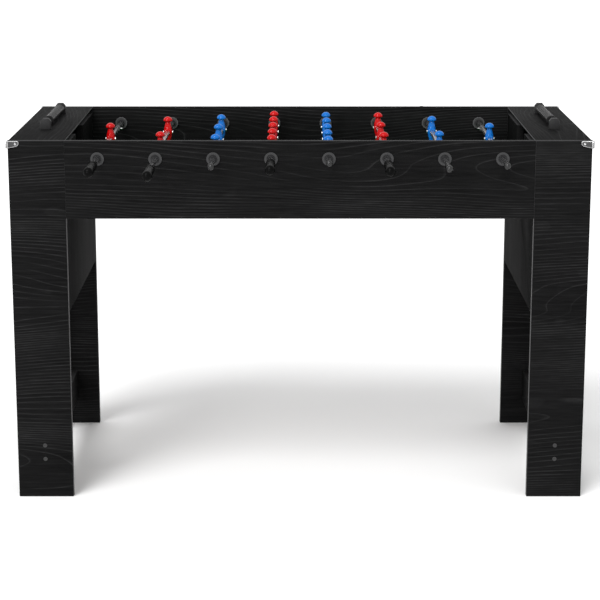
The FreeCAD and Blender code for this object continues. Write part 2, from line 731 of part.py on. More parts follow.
def build_counters():
    """The scoring frames on the end decks, and their beads pushed to the back."""
    half = "counter_length / 2"
    top = "counter_height"
    edge = "counter_width / 2"
    corners = [
        (f"-{edge}", "0"),
        (edge, "0"),
        (edge, f"{top} - 6"),
        (f"{edge} - 5", top),
        (f"-{edge} + 5", top),
        (f"-{edge}", f"{top} - 6"),
    ]
    post = padded_body("counter_post", "XZ_Plane", corners, "counter_post")
    bar_length = "counter_length - 2 * counter_post"
    bead = turned(
        "score_bead",
        [
            ("bead_bar_radius + 0.1", "0"),
            ("bead_radius - 2", "0"),
            ("bead_radius", "2"),
            ("bead_radius", "bead_length - 2"),
            ("bead_radius - 2", "bead_length"),
            ("bead_bar_radius + 0.1", "bead_length"),
        ],
    )
    frames = []
    bead_nodes = []
    for side_name, side in (("left", -1), ("right", 1)):
        x = f"{side} * counter_reach"
        mark = f"counter_{side_name}"
        frames.append(copy_of(f"{mark}_front", post, x, f"counter_shift - {half} + counter_post", "cabinet_height"))
        frames.append(copy_of(f"{mark}_back", post, x, f"counter_shift + {half}", "cabinet_height"))
        bar_y = f"counter_shift - {half} + counter_post"
        bar_z = "cabinet_height + bead_lift"
        frames.append(rod(f"{mark}_bar", "bead_bar_radius", bar_length, x, bar_y, bar_z, ALONG_Y))
        beads = []
        for step in range(BEADS):
            y = f"-{step + 1} * bead_pitch"
            beads.append(copy_of(f"bead_{side_name}_{step}", bead, y=y))
        row = group(f"score_beads_{side_name}", beads)
        bead_nodes.append(place(row, x, f"counter_shift + {half} - counter_post", bar_z))
    return [group("score_counter_frames", frames)] + bead_nodes


def build_guards():
    """The metal guards on the four top corners: two tapered arms and a rounded corner."""
    guard = doc.addObject("PartDesign::Body", "corner_guard")
    arm = [
        ("0", "0"),
        ("0", "-guard_height"),
        ("guard_reach - 4", "-guard_tip - 1"),
        ("guard_reach", "-guard_tip + 3"),
        ("guard_reach", "-2"),
        ("guard_reach - 2", "0"),
    ]
    pad(guard, outline(new_sketch(guard, "front_arm", "XZ_Plane"), arm), "front_arm_plate", "guard_plate")
    doc.recompute()
    pad(guard, outline(new_sketch(guard, "side_arm", "YZ_Plane"), arm), "side_arm_plate", "guard_plate", True)
    doc.recompute()
    round_off = "guard_corner * 0.3"
    corner = [
        ("0", "0"),
        ("-guard_corner", "0"),
        ("-guard_corner", f"-guard_corner + {round_off}"),
        (f"-guard_corner + {round_off}", "-guard_corner"),
        ("0", "-guard_corner"),
    ]
    pad(guard, outline(new_sketch(guard, "corner_outline", "XY_Plane"), corner), "corner_block", "guard_height", True)
    half_x = "cabinet_length / 2"
    half_y = "cabinet_depth / 2"
    guards = []
    spots = [(f"-{half_x}", f"-{half_y}"), (half_x, f"-{half_y}"), (half_x, half_y), (f"-{half_x}", half_y)]
    for quarter, (x, y) in enumerate(spots):
        turn = FreeCAD.Rotation(Z_AXIS, 90 * quarter)
        guards.append(copy_of(f"guard_{quarter}", guard, x, y, "cabinet_height", turn))
    return [group("corner_guards", guards)]


def export(nodes):
    """Check the whole document, then write one STEP file per node."""
    doc.recompute()
    for item in doc.Objects:
        if "Invalid" in item.State or "Error" in item.State:
            raise RuntimeError(f"{item.Label} failed: {item.State}")
    os.makedirs("parts", exist_ok=True)
    for node in nodes:
        shape = node.Shape
        if shape.isNull() or not shape.isValid() or not shape.Solids:
            raise RuntimeError(f"{node.Label} has no valid solid")
        shape.exportStep(f"parts/{node.Label}.step")
    print(len(nodes), "nodes")


leg_screw = turned(
    "leg_screw",
    [
        ("0", "-screw_head_height"),
        ("screw_head_radius - 0.5", "-screw_head_height"),
        ("screw_head_radius", "-screw_head_height + 0.5"),
        ("screw_head_radius", "0"),
        ("screw_radius", "0"),
        ("screw_radius", "screw_length"),
        ("0", "screw_length"),
    ],
)
sleeve = make_sleeve()
handle = make_handle()
cap = make_cap()
man = make_man()
bolt = make_bolt()
nut = make_nut()
collar = make_collar()
collar_screw = make_collar_screw()
bumper = make_bumper()

nodes = build_cabinet() + build_playfield() + build_bearings()
for index, (name, men) in enumerate(RODS):
    nodes += build_rod(index, name, men)
nodes += build_counters() + build_guards()
export(nodes)
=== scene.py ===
import math

import bmesh
import bpy
from mathutils import Matrix, Vector


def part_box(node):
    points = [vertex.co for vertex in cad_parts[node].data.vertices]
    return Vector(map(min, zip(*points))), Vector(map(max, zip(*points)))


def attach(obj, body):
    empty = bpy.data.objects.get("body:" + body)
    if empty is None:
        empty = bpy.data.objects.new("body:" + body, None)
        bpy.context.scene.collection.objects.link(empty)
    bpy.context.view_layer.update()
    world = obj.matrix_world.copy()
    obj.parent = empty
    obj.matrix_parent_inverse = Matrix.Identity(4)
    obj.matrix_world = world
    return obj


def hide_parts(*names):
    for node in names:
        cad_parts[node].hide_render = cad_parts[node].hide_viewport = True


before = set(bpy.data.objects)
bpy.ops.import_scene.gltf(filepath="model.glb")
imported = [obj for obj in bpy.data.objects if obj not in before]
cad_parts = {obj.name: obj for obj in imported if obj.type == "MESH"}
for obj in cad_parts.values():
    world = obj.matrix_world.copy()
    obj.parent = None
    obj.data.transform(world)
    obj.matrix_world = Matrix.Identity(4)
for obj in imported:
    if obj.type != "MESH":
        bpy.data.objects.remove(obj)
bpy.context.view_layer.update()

# A black ash-grain foosball table. Everything is in metres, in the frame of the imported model:
# +X along the table, +Y towards the back, +Z up. Outlines and sections are in millimetres, and a size
# times MM is in metres.

MM = 0.001
CABINET = "cabinet"

# Each rod: how many men it carries.
RODS = {
    "red_goalie": 1,
    "red_defence": 2,
    "blue_attack": 3,
    "red_midfield": 5,
    "blue_midfield": 5,
    "red_attack": 3,
    "blue_defence": 2,
    "blue_goalie": 1,
}


# ---------------------------------------------------------------- shader helpers


class Shader:
    """A material round one Principled shader, with short calls for its nodes."""

    def __init__(self, name, **sockets):
        self.material = bpy.data.materials.new(name)
        self.material.use_nodes = True
        self.tree = self.material.node_tree
        self.surface = self.tree.nodes["Principled BSDF"]
        for socket, value in sockets.items():
            self.surface.inputs[socket.replace("_", " ")].default_value = value

    def add(self, kind, inputs=(), **settings):
        """A node with its inputs filled, by name or number, from values or from other nodes' outputs."""
        node = self.tree.nodes.new(kind)
        for setting, value in settings.items():
            setattr(node, setting, value)
        for socket, value in dict(inputs).items():
            if isinstance(value, bpy.types.NodeSocket):
                self.tree.links.new(value, node.inputs[socket])
            else:
                node.inputs[socket].default_value = value
        return node

    def math(self, operation, first, second=0.0, clamp=False):
        """One arithmetic step."""
        node = self.add("ShaderNodeMath", {0: first, 1: second}, operation=operation, use_clamp=clamp)
        return node.outputs[0]

    def weighted(self, *terms, clamp=False):
        """The sum of several outputs, each times its weight."""
        total = None
        for output, weight in terms:
            term = self.math("MULTIPLY", output, weight)
            total = term if total is None else self.math("ADD", total, term, clamp)
        return total

    def vector(self, operation, first, second):
        """One step of vector arithmetic."""
        return self.add("ShaderNodeVectorMath", {0: first, 1: second}, operation=operation).outputs[0]

    def length(self, vector):
        """How long a vector is."""
        return self.add("ShaderNodeVectorMath", {0: vector}, operation="LENGTH").outputs["Value"]

    def place(self):
        """Where the point is on its piece, in metres."""
        return self.add("ShaderNodeTexCoord").outputs["Object"]

    def noise(self, vector, scale, detail=2.0, roughness=0.5):
        """Soft noise between 0 and 1."""
        inputs = {"Vector": vector, "Scale": scale, "Detail": detail, "Roughness": roughness}
        return self.add("ShaderNodeTexNoise", inputs).outputs["Fac"]

    def ramp(self, value, stops):
        """A grey curve through (position, level) stops."""
        node = self.add("ShaderNodeValToRGB", {"Fac": value})
        elements = node.color_ramp.elements
        while len(elements) < len(stops):
            elements.new(0.5)
        for element, (position, level) in zip(elements, stops):
            element.position = position
            element.color = (level, level, level, 1)
        return node.outputs["Color"]

    def mix(self, factor, low, high):
        """A colour between two others."""
        node = self.add("ShaderNodeMix", {"Factor": factor}, data_type="RGBA")
        for socket, value in ((6, low), (7, high)):
            if isinstance(value, bpy.types.NodeSocket):
                self.tree.links.new(value, node.inputs[socket])
            else:
                node.inputs[socket].default_value = (*value, 1)
        return node.outputs[2]

    def colour(self, output):
        """The surface's own colour."""
        self.tree.links.new(output, self.surface.inputs["Base Color"])

    def rough(self, value, low, high):
        """Roughness that follows a value from 0 to 1."""
        spread = self.add("ShaderNodeMapRange", {"Value": value, "To Min": low, "To Max": high})
        self.tree.links.new(spread.outputs["Result"], self.surface.inputs["Roughness"])

    def bump(self, height, depth):
        """Relief of a depth in metres."""
        node = self.add("ShaderNodeBump", {"Height": height, "Distance": depth, "Strength": 1.0})
        self.tree.links.new(node.outputs["Normal"], self.surface.inputs["Normal"])


# ---------------------------------------------------------------- black ash

ASH_DARK = (0.0030, 0.0030, 0.0031)
ASH_PALE = (0.0228, 0.0228, 0.0231)
# Growth rings for each metre across the grain, and the fewest that a line's width is worked out for.
RINGS = 118.0
FEWEST_RINGS = 24.0
# Each bend of the rings: how far it is squeezed along the grain, its noise scale, and how many rings
# it moves.
RING_BENDS = ((0.06, 5.5, 29.0), (0.20, 7.0, 17.0), (0.20, 30.0, 0.6))
# The step between the two counts that give the rings' spacing, and the width of a line, in metres.
RING_STEP = 0.001
RING_WIDTH = 0.0038
# How pale a line is from one side of it to the other.
RING_LINE = [(0.0, 0.0), (0.08, 0.7), (0.20, 1.0), (0.42, 0.5), (0.75, 0.12), (1.0, 0.0)]
RING_SHARE = 0.88
RING_FADE = [(0.34, 0.15), (0.62, 1.0)]
# Each finer pattern: how far it is squeezed along the grain, its noise scale, detail and roughness,
# the noise levels where it starts and is full, and its share of the shade.
PORES = (0.06, 420, 3.0, 0.65, 0.40, 0.66, 0.13)
FIBRES = (0.03, 190, 2.0, 0.5, 0.32, 0.68, 0.12)
BANDS = (0.04, 26, 2.0, 0.5, 0.35, 0.65, 0.05)
FLECKS = (0.42, 34, 1.0, 0.4, 0.67, 0.73, 0.10)
# How far a board's pattern number moves its grain in X, Y and Z.
SEED_SHIFT = (3.1, 5.7, 9.3)


def ash(name, grain, across, tone=1.0, specular=0.03):
    """Black ash foil: pale growth lines in long arches along one axis, over fine fibres."""
    shader = Shader(name, Specular_IOR_Level=specular)
    seed = shader.add("ShaderNodeAttribute", attribute_name="board_seed").outputs["Fac"]
    moves = {axis: shader.math("MULTIPLY", seed, amount) for axis, amount in enumerate(SEED_SHIFT)}
    shift = shader.add("ShaderNodeCombineXYZ", moves)
    place = shader.vector("ADD", shader.place(), shift.outputs[0])

    def stretched(amount, start=place):
        return shader.vector("MULTIPLY", start, tuple(amount if axis == grain else 1.0 for axis in "XYZ"))

    def rings(start):
        """The number of growth rings crossed on the way to a point."""
        split = shader.add("ShaderNodeSeparateXYZ", {0: start})
        count = shader.math("MULTIPLY", split.outputs[across], RINGS)
        for amount, scale, moved in RING_BENDS:
            bend = shader.noise(stretched(amount, start), scale, detail=1.0, roughness=0.4)
            count = shader.math("ADD", count, shader.math("MULTIPLY", bend, moved))
        return count

    def pattern(amount, scale, detail, roughness, begins, full):
        level = shader.noise(stretched(amount), scale, detail, roughness)
        return shader.ramp(level, [(begins, 0.0), (full, 1.0)])

    here = rings(place)
    beside = rings(shader.vector("ADD", place, tuple(RING_STEP if axis == across else 0.0 for axis in "XYZ")))
    spacing = shader.math("ABSOLUTE", shader.math("SUBTRACT", beside, here))
    spacing = shader.math("MAXIMUM", shader.math("MULTIPLY", spacing, 1 / RING_STEP), FEWEST_RINGS)
    past = shader.math("DIVIDE", shader.math("FRACT", here), spacing)
    line = shader.ramp(shader.math("MULTIPLY", past, 1 / RING_WIDTH, clamp=True), RING_LINE)
    fade = shader.ramp(shader.noise(stretched(0.22), scale=20), RING_FADE)
    finer = [(pattern(*row), share) for *row, share in (PORES, FIBRES, BANDS, FLECKS)]
    pores = finer[0][0]
    texture = shader.math("ADD", shader.math("MULTIPLY", pores, 0.5), 0.5)
    lines = shader.math("MULTIPLY", shader.math("MULTIPLY", line, fade), texture)
    shade = shader.weighted((lines, RING_SHARE), *finer, clamp=True)
    # A tone other than 1 is painted light or painted shade over the whole board.
    dark, pale = ([tone * level for level in colour] for colour in (ASH_DARK, ASH_PALE))
    shader.colour(shader.mix(shade, dark, pale))
    shader.rough(pores, low=0.66, high=0.80)
    shader.bump(shader.weighted((lines, 0.6), (pores, 0.4)), depth=0.00012)
    return shader.material


def edge_band(name, dark, pale):
    """The band glued along the boards' narrow edges."""
    shader = Shader(name, Specular_IOR_Level=0.06)
    place = shader.place()
    speckle = shader.noise(place, scale=900, detail=3.0, roughness=0.6)
    wear = shader.noise(place, scale=24, detail=3.0, roughness=0.6)
    shader.colour(shader.mix(shader.weighted((speckle, 0.45), (wear, 0.55)), dark, pale))
    shader.rough(speckle, low=0.60, high=0.75)
    shader.bump(speckle, depth=0.00008)
    return shader.material


# ---------------------------------------------------------------- plastic, metal and playfield


def plastic(name, dark, light, rough, specular):
    """Moulded plastic with a faint grain, handling marks and uneven gloss."""
    shader = Shader(name, Specular_IOR_Level=specular)
    place = shader.place()
    fine = shader.noise(place, scale=1400, detail=2.0, roughness=0.6)
    marks = shader.noise(place, scale=95, detail=4.0, roughness=0.65)
    shader.colour(shader.mix(marks, dark, light))
    shader.rough(marks, *rough)
    shader.bump(fine, depth=0.00002)
    return shader.material


def metal(name, dark, light, rough, along):
    """Bright metal with fine drawn lines along one axis and dull patches."""
    shader = Shader(name, Metallic=1.0)
    place = shader.place()
    stretch = tuple(0.03 if axis == along else 1.0 for axis in "XYZ")
    lines = shader.noise(shader.vector("MULTIPLY", place, stretch), scale=2600, detail=2.0, roughness=0.6)
    patches = shader.noise(place, scale=60, detail=3.0, roughness=0.6)
    shader.colour(shader.mix(patches, dark, light))
    shader.rough(shader.weighted((lines, 0.5), (patches, 0.5)), *rough)
    shader.bump(lines, depth=0.000003)
    return shader.material


# The playfield's markings: half the width of a line, the centre circle and spot, and at each end the
# penalty spot and the frames in front of the goal, each by its place from the middle and half width.
HALF_LINE = 2.2 * MM
CIRCLE_RADIUS = 84 * MM
CENTRE_SPOT_RADIUS = 6 * MM
PENALTY_SPOT = 300 * MM
PENALTY_SPOT_RADIUS = 5 * MM
GOAL_FRAMES = ((330 * MM, 150 * MM), (396 * MM, 92 * MM))
# The green is striped across: half the playfield's length, and the length of a pale and a dark stripe.
PLAYFIELD_HALF = 0.484
STRIPE_PAIR = 0.242


def playfield_material():
    """Green printed board with white generic markings."""
    shader = Shader("playfield_print", Specular_IOR_Level=0.4)
    place = shader.place()
    split = shader.add("ShaderNodeSeparateXYZ", {0: place})
    across = shader.math("ABSOLUTE", split.outputs["X"])
    side = shader.math("ABSOLUTE", split.outputs["Y"])

    def near(value, target):
        distance = shader.math("ABSOLUTE", shader.math("SUBTRACT", value, target))
        return shader.math("LESS_THAN", distance, HALF_LINE)

    def within(value, limit):
        return shader.math("LESS_THAN", value, limit)

    def frame_line(start, width):
        edge = shader.math("MULTIPLY", near(across, start), within(side, width + HALF_LINE))
        beyond = shader.math("GREATER_THAN", across, start)
        return shader.math("MAXIMUM", edge, shader.math("MULTIPLY", near(side, width), beyond))

    radius = shader.length(shader.vector("MULTIPLY", place, (1, 1, 0)))
    lines = shader.math("MAXIMUM", near(across, 0.0), near(radius, CIRCLE_RADIUS))
    lines = shader.math("MAXIMUM", lines, within(radius, CENTRE_SPOT_RADIUS))
    for start, width in GOAL_FRAMES:
        lines = shader.math("MAXIMUM", lines, frame_line(start, width))
    from_spot = shader.math("SUBTRACT", across, PENALTY_SPOT)
    from_spot = shader.add("ShaderNodeCombineXYZ", {0: from_spot, 1: side}).outputs[0]
    lines = shader.math("MAXIMUM", lines, within(shader.length(from_spot), PENALTY_SPOT_RADIUS))
    wear = shader.noise(place, scale=14, detail=5.0, roughness=0.65)
    fibre = shader.noise(place, scale=700, detail=3.0, roughness=0.6)
    along = shader.math("ADD", split.outputs["X"], PLAYFIELD_HALF)
    stripe = shader.math("FRACT", shader.math("MULTIPLY", along, 1 / STRIPE_PAIR))
    dark_stripe = shader.math("LESS_THAN", stripe, 0.5)
    grass_shade = shader.weighted((dark_stripe, 0.35), (wear, 0.5), clamp=True)
    grass = shader.mix(grass_shade, (0.012, 0.115, 0.032), (0.022, 0.185, 0.052))
    paint = shader.mix(wear, (0.72, 0.73, 0.70), (0.55, 0.57, 0.53))
    shader.colour(shader.mix(lines, grass, paint))
    shader.rough(wear, low=0.34, high=0.5)
    shader.bump(fibre, depth=0.00003)
    return shader.material


def fibreboard():
    """The raw brown board under the print."""
    shader = Shader("raw_fibreboard", Specular_IOR_Level=0.2)
    place = shader.place()
    fibre = shader.noise(place, scale=520, detail=4.0, roughness=0.7)
    cloud = shader.noise(place, scale=9, detail=3.0, roughness=0.6)
    shade = shader.weighted((fibre, 0.6), (cloud, 0.4))
    shader.colour(shader.mix(shade, (0.105, 0.062, 0.034), (0.200, 0.128, 0.076)))
    shader.rough(fibre, low=0.70, high=0.86)
    shader.bump(fibre, depth=0.00005)
    return shader.material


# ---------------------------------------------------------------- mesh helpers

# Points nearer than this, in metres, are one point.
SAME_POINT = 1e-7
# The most of a side that a rounded corner may take.
CORNER_SHARE = 0.45
# A turned piece is closed by a flat end where its radius, in millimetres, is more than this.
CLOSED_RADIUS = 0.01
LATHE_SEGMENTS = 40
# How fast the flutes of a turned piece fade away from its widest part.
FLUTE_FADE = 4


def new_piece(name, mesh, materials, body, node, slot, at=None, smooth=32):
    """Link a mesh as a piece that rides on a body and stands for a CAD node, which it hides.

    Edges that turn by more degrees than smooth stay sharp. The slot is not used.
    """
    piece = bpy.data.objects.new(name, mesh)
    bpy.context.scene.collection.objects.link(piece)
    if at is not None:
        piece.matrix_world = at
    if not mesh.materials:
        for material in materials:
            mesh.materials.append(material)
        for polygon in mesh.polygons:
            polygon.use_smooth = True
        mesh.set_sharp_from_angle(angle=math.radians(smooth))
    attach(piece, body)
    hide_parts(node)


def mesh_from(name, points, faces):
    """A mesh from points in metres, with its faces turned outwards."""
    mesh = bpy.data.meshes.new(name)
    mesh.from_pydata([tuple(point) for point in points], [], faces)
    shape = bmesh.new()
    shape.from_mesh(mesh)
    bmesh.ops.remove_doubles(shape, verts=shape.verts, dist=SAME_POINT)
    bmesh.ops.recalc_face_normals(shape, faces=shape.faces)
    shape.to_mesh(mesh)
    shape.free()
    return mesh


def softened(profile, radius, steps=3):
    """A profile with each inner corner rounded."""
    result = [profile[0]]
    for before, corner, after in zip(profile, profile[1:], profile[2:]):
        corner = Vector(corner)
        back = Vector(before) - corner
        ahead = Vector(after) - corner
        start = corner + back.normalized() * min(radius, back.length * CORNER_SHARE)
        end = corner + ahead.normalized() * min(radius, ahead.length * CORNER_SHARE)
        for step in range(steps + 1):
            t = step / steps
            point = start.lerp(corner, t).lerp(corner.lerp(end, t), t)
            result.append((point.x, point.y))
    result.append(profile[-1])
    return result


def lathe(name, profile, axis="Y", segments=LATHE_SEGMENTS, ribs=0, rib_depth=0.0):
    """A turned mesh. The profile is (along the axis, radius) in millimetres; ribs flute its full radius."""
    widest = max(radius for _, radius in profile)
    points = []
    for along, radius in profile:
        for step in range(segments):
            angle = 2 * math.pi * step / segments
            reach = radius
            if ribs:
                fade = (radius / widest) ** FLUTE_FADE
                reach = max(radius - rib_depth * (0.5 + 0.5 * math.cos(ribs * angle)) * fade, 0.0)
            a, b = reach * math.cos(angle), reach * math.sin(angle)
            place = {"X": (along, a, b), "Y": (a, along, b), "Z": (a, b, along)}
            points.append(Vector(place[axis]) * MM)
    faces = []
    for row in range(len(profile) - 1):
        for step in range(segments):
            following = (step + 1) % segments
            low = row * segments
            high = low + segments
            faces.append((low + step, low + following, high + following, high + step))
    if profile[0] != profile[-1]:
        for row in (0, len(profile) - 1):
            if profile[row][1] > CLOSED_RADIUS:
                faces.append(tuple(row * segments + step for step in range(segments)))
    return mesh_from(name, points, faces)


def between(a, b, c, d, t):
    """A smooth value from b at t = 0 to c at t = 1, with a and d beyond them, that never overshoots."""
    square = 2 * a - 5 * b + 4 * c - d
    cube = 3 * b - a - 3 * c + d
    curve = 0.5 * (2 * b + (c - a) * t + square * t**2 + cube * t**3)
    return min(max(curve, min(b, c)), max(b, c))


def loft(name, sections, segments=28, steps=5):
    """An upright mesh through superellipse sections: height, half width in X and in Y, squareness."""
    rows = []
    last = len(sections) - 1
    for index in range(last):
        numbers = (max(index - 1, 0), index, index + 1, min(index + 2, last))
        around = [sections[number] for number in numbers]
        for step in range(steps):
            rows.append([between(*values, step / steps) for values in zip(*around)])
    rows.append(sections[-1])
    points = []
    for height, half_x, half_y, square in rows:
        for step in range(segments):
            angle = 2 * math.pi * step / segments
            cos, sin = math.cos(angle), math.sin(angle)
            x = half_x * math.copysign(abs(cos) ** (2 / square), cos)
            y = half_y * math.copysign(abs(sin) ** (2 / square), sin)
            points.append(Vector((x, y, height)) * MM)
    faces = []
    for row in range(len(rows) - 1):
        for step in range(segments):
            following = (step + 1) % segments
            low = row * segments
            faces.append((low + step, low + following, low + segments + following, low + segments + step))
    faces.append(tuple(range(segments)))
    faces.append(tuple((len(rows) - 1) * segments + step for step in range(segments)))
    return mesh_from(name, points, faces)


def joined(name, meshes):
    """Several meshes as one, keeping their material numbers."""
    shape = bmesh.new()
    for mesh in meshes:
        shape.from_mesh(mesh)
    result = bpy.data.meshes.new(name)
    shape.to_mesh(result)
    shape.free()
    return result


# ---------------------------------------------------------------- boards

ASH = {
    ("X", "Z"): ash("ash_grain_x", "X", "Z"),
    # The end decks and ball shelves get 1.3 times the tone: painted light that makes these tops lighter than
    # the other boards.
    ("Y", "X"): ash("ash_grain_y_flat_painted_light", "Y", "X", tone=1.3),
    ("Y", "Z"): ash("ash_grain_y_upright", "Y", "Z"),
    # The goal panels, inside the box under the decks, get 0.8 times the tone as painted shade.
    ("Z", "Y"): ash("ash_grain_z_painted_shade", "Z", "Y", tone=0.8, specular=0.008),
}
# The edge band on upward edges: its own colour, lighter than the grain, and partly a painted highlight that
# the top edges catch.
EDGE = edge_band("ash_edge_band", (0.022, 0.022, 0.0225), (0.044, 0.044, 0.045))
# Painted highlight: a lighter copy of the band for the legs' inner edges and the decks' lip.
EDGE_HIGHLIGHT = edge_band("edge_band_painted_highlight", (0.070, 0.070, 0.071), (0.110, 0.110, 0.112))
# Painted shade: a nearly black copy of the band for edges that face down or aside.
EDGE_SHADE = edge_band("edge_band_painted_shade", (0.0030, 0.0030, 0.0031), (0.0070, 0.0070, 0.0071))
# A face that looks along an axis has at least this much of its normal along it.
FACING = 0.7
# A side of a face that is no longer than this is the thickness of a board.
BOARD_EDGE = 16 * MM
# The inner side of an end deck, over its shadow gap: the height of its lip, and how deep the gap is,
# in millimetres.
DECK_LIP = 3.4
DECK_GAP = 9.0
# Faces of an end deck lower than the first height are its lip, and than the second its gap.
DECK_LIP_FACE = 5 * MM
DECK_GAP_FACE = 14 * MM
# The number between the two decks' grain patterns.
DECK_SEED = 5.3
# Edges shorter than this are left sharp, because a rounding would not fit between their neighbours.
SHORT_EDGE = 4 * MM
# Edges that turn by more degrees than the first are rounded, and those under the second are dropped.
SHARP_TURN = 40
FLAT_TURN = 1
# Places are the same when they agree to this many decimals of a metre, and angles when they differ by
# less than this, in radians.
PLACE_DECIMALS = 6
SAME_ANGLE = 0.001
# The stretchers' screws are lower than this; the stretchers are higher.
SCREW_HEIGHT = 50 * MM
# A board's finishes, by their numbers; the last two are the edge band's painted highlight and its painted
# shade.
GRAINED, UPRIGHT_GRAINED, BANDED, HIGHLIGHT_EDGED, SHADE_EDGED = range(5)
BOARDS = [
    # node, axis through its thickness, axis along its grain, axis across it, grain pattern
    ("front_apron", "Y", "X", "Z", 2.70),
    ("back_apron", "Y", "X", "Z", 3.53),
    ("leg_front_left", "Y", "X", "Z", 3.29),
    ("leg_front_right", "Y", "X", "Z", 3.05),
    ("leg_back_left", "Y", "X", "Z", 1.59),
    ("leg_back_right", "Y", "X", "Z", 1.96),
    ("goal_panel_left", "X", "Z", "Y", 2.33),
    ("goal_panel_right", "X", "Z", "Y", 2.73),
    ("outer_end_panels", "X", "Y", "Z", 3.07),
    ("leg_stretchers", "X", "Y", "Z", 3.44),
    ("playfield_rails", "Y", "X", "Z", 3.81),
    ("ball_shelves", "Z", "Y", "X", 4.18),
]


class Triangles:
    """The triangles of a mesh whose solids may touch, with one number for each place."""

    def __init__(self, mesh):
        places = {}
        numbers = []
        for vertex in mesh.vertices:
            place = tuple(round(value, PLACE_DECIMALS) for value in vertex.co)
            numbers.append(places.setdefault(place, len(places)))
        self.points = [Vector(place) for place in places]
        self.faces = [tuple(numbers[corner] for corner in polygon.vertices) for polygon in mesh.polygons]
        self.faces = [face for face in self.faces if len(set(face)) == len(face)]
        self.normals = []
        self.sides = {}
        for number, face in enumerate(self.faces):
            first, second, third = (self.points[corner] for corner in face[:3])
            self.normals.append((second - first).cross(third - first).normalized())
            for side in zip(face, face[1:] + face[:1]):
                self.sides.setdefault(side, []).append(number)

    def partner(self, number, start, end):
        """The face across one side of a face that bounds the same material."""
        normal = self.normals[number]
        ahead = (self.points[end] - self.points[start]).normalized()
        inward = normal.cross(ahead)
        turns = []
        for other in self.sides.get((end, start), []):
            beyond = -self.normals[other].cross(ahead)
            turn = math.atan2(-beyond.dot(normal), beyond.dot(inward)) % (2 * math.pi)
            turns.append((turn if turn > SAME_ANGLE else turn + 2 * math.pi, other))
        return min(turns)[1] if turns else number

    def solids(self):
        """The faces of each solid."""
        waiting = set(range(len(self.faces)))
        groups = []
        for first in range(len(self.faces)):
            if first not in waiting:
                continue
            waiting.remove(first)
            group = [first]
            for number in group:
                face = self.faces[number]
                for start, end in zip(face, face[1:] + face[:1]):
                    other = self.partner(number, start, end)
                    if other in waiting:
                        waiting.remove(other)
                        group.append(other)
            groups.append(group)
        return groups


def copied(node, least=0.0):
    """The shape of a CAD node, without its solids that are lower than a size in metres."""
    triangles = Triangles(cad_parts[node].data)
    shape = bmesh.new()
    for group in triangles.solids():
        corners = sorted({corner for number in group for corner in triangles.faces[number]})
        heights = [triangles.points[corner].z for corner in corners]
        if max(heights) - min(heights) < least:
            continue
        vertices = {corner: shape.verts.new(triangles.points[corner]) for corner in corners}
        for number in group:
            shape.faces.new([vertices[corner] for corner in triangles.faces[number]])
    shape.normal_update()
    parts = {"verts": shape.verts, "edges": shape.edges}
    bmesh.ops.dissolve_limit(shape, angle_limit=math.radians(FLAT_TURN), delimit={"NORMAL"}, **parts)
    return shape


def eased(shape, name, width, segments=2, shortest=0.0):
    """The shape as a mesh with its sharp edges rounded by a width in millimetres, all but the shortest."""
    turn = math.radians(SHARP_TURN)
    inner = [edge for edge in shape.edges if len(edge.link_faces) == 2]
    sharp = [edge for edge in inner if edge.calc_face_angle() > turn and edge.calc_length() > shortest]
    rounding = {"offset": width * MM, "segments": segments, "profile": 0.5, "clamp_overlap": True}
    low = [min(vertex.co[axis] for vertex in shape.verts) for axis in range(3)]
    high = [max(vertex.co[axis] for vertex in shape.verts) for axis in range(3)]
    bmesh.ops.bevel(shape, geom=sharp, affect="EDGES", material=-1, **rounding)
    for vertex in shape.verts:
        vertex.co = [min(max(vertex.co[axis], low[axis]), high[axis]) for axis in range(3)]
    mesh = bpy.data.meshes.new(name)
    shape.to_mesh(mesh)
    shape.free()
    return mesh


def face_finish(node, face, thick):
    """Which of a board's finishes a face gets: the legs' inner edges and the decks' lip get a painted
    highlight, and edges that face down or aside get painted shade.
    """
    sizes = [max(v.co[axis] for v in face.verts) - min(v.co[axis] for v in face.verts) for axis in range(3)]
    leg = node.startswith("leg_")
    along_x = abs(face.normal.x) > FACING
    if abs(face.normal["XYZ".index(thick)]) > FACING and not (leg and sizes[0] < BOARD_EDGE):
        return GRAINED
    if leg and along_x and sizes[1] > BOARD_EDGE:
        return UPRIGHT_GRAINED
    # The legs' inner edges take the painted highlight, their outer edges the painted shade.
    if leg and along_x and face.normal.x * face.calc_center_median().x < 0:
        return HIGHLIGHT_EDGED
    if node.startswith("end_deck") and along_x:
        # The deck's lip takes the painted highlight, its outer end the painted shade.
        if sizes[2] < DECK_LIP_FACE:
            return HIGHLIGHT_EDGED
        return GRAINED if sizes[2] < DECK_GAP_FACE else SHADE_EDGED
    # Upward edges get the band; edges that face down or aside, and the back apron's top, get painted shade.
    return BANDED if face.normal.z > FACING and node != "back_apron" else SHADE_EDGED


def board_piece(node, shape, thick, grain, across, seed):
    """A board with eased edges, grained faces and banded edges."""
    for face in shape.faces:
        face.material_index = face_finish(node, face, thick)
    mesh = eased(shape, f"{node}_board", width=0.6, shortest=SHORT_EDGE)
    values = mesh.attributes.new("board_seed", "FLOAT", "POINT")
    values.data.foreach_set("value", [seed] * len(mesh.vertices))
    finishes = [ASH[grain, across], ASH["Y", "Z"], EDGE, EDGE_HIGHLIGHT, EDGE_SHADE]
    new_piece(f"{node}_board", mesh, finishes, CABINET, node, "black_ash_board")


